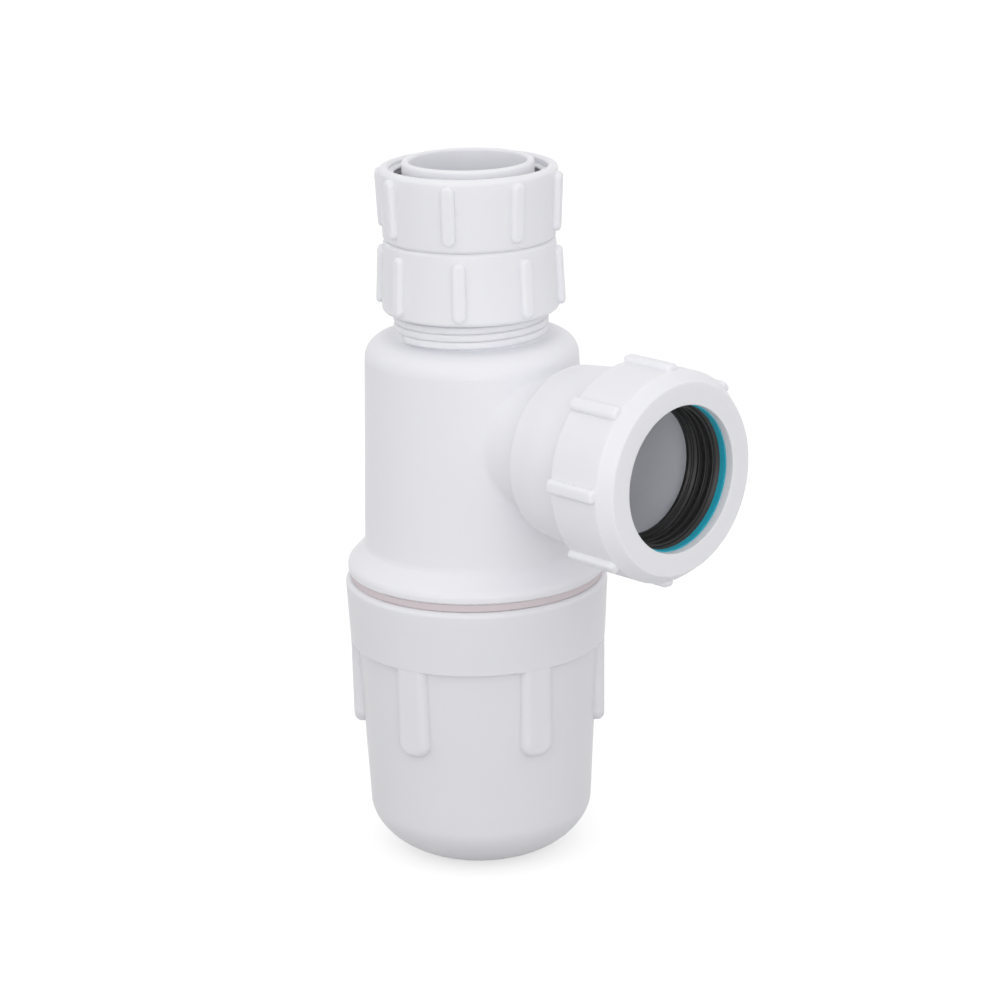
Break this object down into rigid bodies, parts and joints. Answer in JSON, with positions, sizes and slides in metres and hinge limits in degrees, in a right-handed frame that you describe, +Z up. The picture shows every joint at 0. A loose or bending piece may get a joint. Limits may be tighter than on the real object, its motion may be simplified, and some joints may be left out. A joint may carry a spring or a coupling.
{
  "type": "bottle trap",
  "caption": "Telescopic bottle trap: a bottle body with a side outlet and compression nut, a sliding inlet tube with a loose nut, and a screwed-on cup that holds the water seal.",
  "frame": {"origin": "middle of the flat base of the cup, on which the trap stands", "axes": "+Z up the axis of the bottle and the inlet tube, +X along the outlet, out of the nut"},
  "size_m": [0.1296, 0.0826, 0.222],
  "materials": {
    "white_plastic": "moulded satin polypropylene",
    "turquoise_plastic": "moulded satin polypropylene",
    "black_rubber": "moulded rubber",
    "grey_rubber": "soft translucent elastomer"
  },
  "bodies": {
    "trap_body": {"trap_body": "white_plastic", "clamp_seal": "black_rubber", "outlet_seal": "black_rubber"},
    "clamp_ring": {"clamp_ring": "turquoise_plastic"},
    "clamp_nut": {"clamp_nut": "white_plastic"},
    "inlet_tube": {"inlet_tube": "white_plastic", "inlet_washer": "black_rubber"},
    "inlet_nut": {"inlet_nut": "white_plastic"},
    "cup_seal": {"cup_seal": "grey_rubber"},
    "cup": {"cup": "white_plastic"},
    "outlet_slip_ring": {"outlet_slip_ring": "turquoise_plastic"},
    "outlet_nut": {"outlet_nut": "white_plastic"}
  },
  "joints": [
    {"name": "clamp_lift", "type": "slide", "parent": "trap_body", "child": "clamp_ring", "axis": [0, 0, 1], "range_m": [0, 0.0145]},
    {"name": "clamp_turn", "type": "hinge", "parent": "clamp_ring", "child": "clamp_nut", "pos_m": [0, 0, 0.187], "axis": [0, 0, 1], "range_deg": [0, 2250]},
    {"name": "tube_slide", "type": "slide", "parent": "clamp_ring", "child": "inlet_tube", "axis": [0, 0, 1], "range_m": [-0.0101, 0.06]},
    {"name": "inlet_spin", "type": "hinge", "parent": "clamp_ring", "child": "inlet_nut", "pos_m": [0, 0, 0.209], "axis": [0, 0, 1], "continuous": true},
    {"name": "cup_drop", "type": "slide", "parent": "trap_body", "child": "cup_seal", "axis": [0, 0, -1], "range_m": [0, 0.0141]},
    {"name": "cup_turn", "type": "hinge", "parent": "cup_seal", "child": "cup", "pos_m": [0, 0, 0.08], "axis": [0, 0, -1], "range_deg": [0, 1260]},
    {"name": "outlet_push", "type": "slide", "parent": "trap_body", "child": "outlet_slip_ring", "axis": [1, 0, 0], "range_m": [0, 0.0169]},
    {"name": "outlet_turn", "type": "hinge", "parent": "outlet_slip_ring", "child": "outlet_nut", "pos_m": [0.0768, 0, 0.1384], "axis": [1, 0, 0], "range_deg": [0, 2016]}
  ],
  "couplings": [
    {"joint": "clamp_lift", "follows": "clamp_turn", "m_per_rad": 0.00036749},
    {"joint": "cup_drop", "follows": "cup_turn", "m_per_rad": 0.00063662},
    {"joint": "outlet_push", "follows": "outlet_turn", "m_per_rad": 0.00047746}
  ]
}
